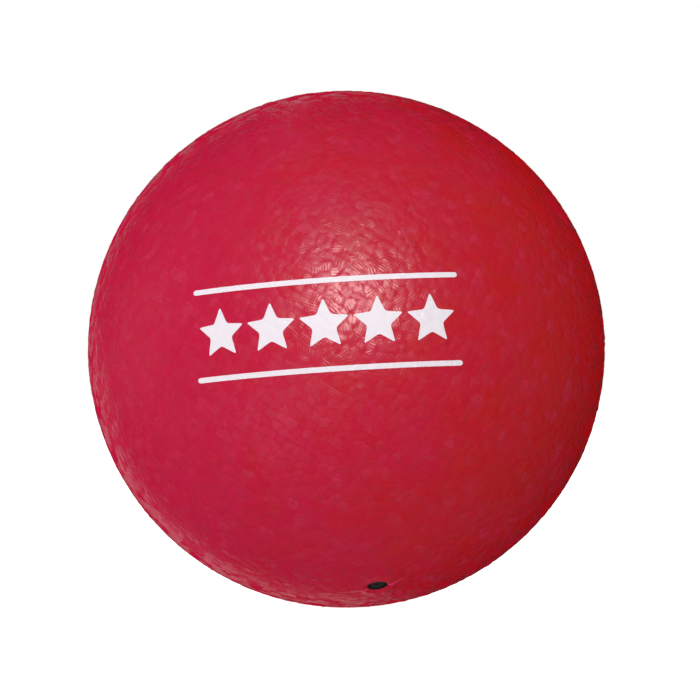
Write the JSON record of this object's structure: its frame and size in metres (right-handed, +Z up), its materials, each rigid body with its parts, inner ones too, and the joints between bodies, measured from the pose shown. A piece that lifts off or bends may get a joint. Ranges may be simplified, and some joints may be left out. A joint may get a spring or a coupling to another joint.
{
  "type": "playground rubber ball",
  "caption": "Hollow textured rubber ball with a moulded cover, nylon winding, bladder and a pull-out needle valve plug.",
  "frame": {"origin": "centre of the ball", "axes": "+Z up, -Y towards the printed front, +X to the right of the print; the valve is underneath, tilted towards the front"},
  "size_m": [0.254, 0.2541, 0.254],
  "materials": {
    "cover_rubber": "satin",
    "nylon_thread": "satin",
    "bladder_rubber": "matte",
    "patch_rubber": "matte",
    "valve_rubber": "satin",
    "plug_rubber": "satin",
    "white_ink": "satin"
  },
  "bodies": {
    "ball": {"cover_front": "cover_rubber", "cover_back": "cover_rubber", "nylon_winding": "nylon_thread", "bladder_valve_half": "bladder_rubber", "bladder_plain_half": "bladder_rubber", "valve_patch": "patch_rubber", "valve_housing": "valve_rubber", "print_stars": "white_ink", "print_stripe_upper": "white_ink", "print_stripe_lower": "white_ink"},
    "plug": {"valve_plug": "plug_rubber"}
  },
  "joints": [
    {"name": "valve_pull", "type": "slide", "parent": "ball", "child": "plug", "axis": [0.1158, -0.4617, -0.8794], "range_m": [0, 0.011]}
  ]
}
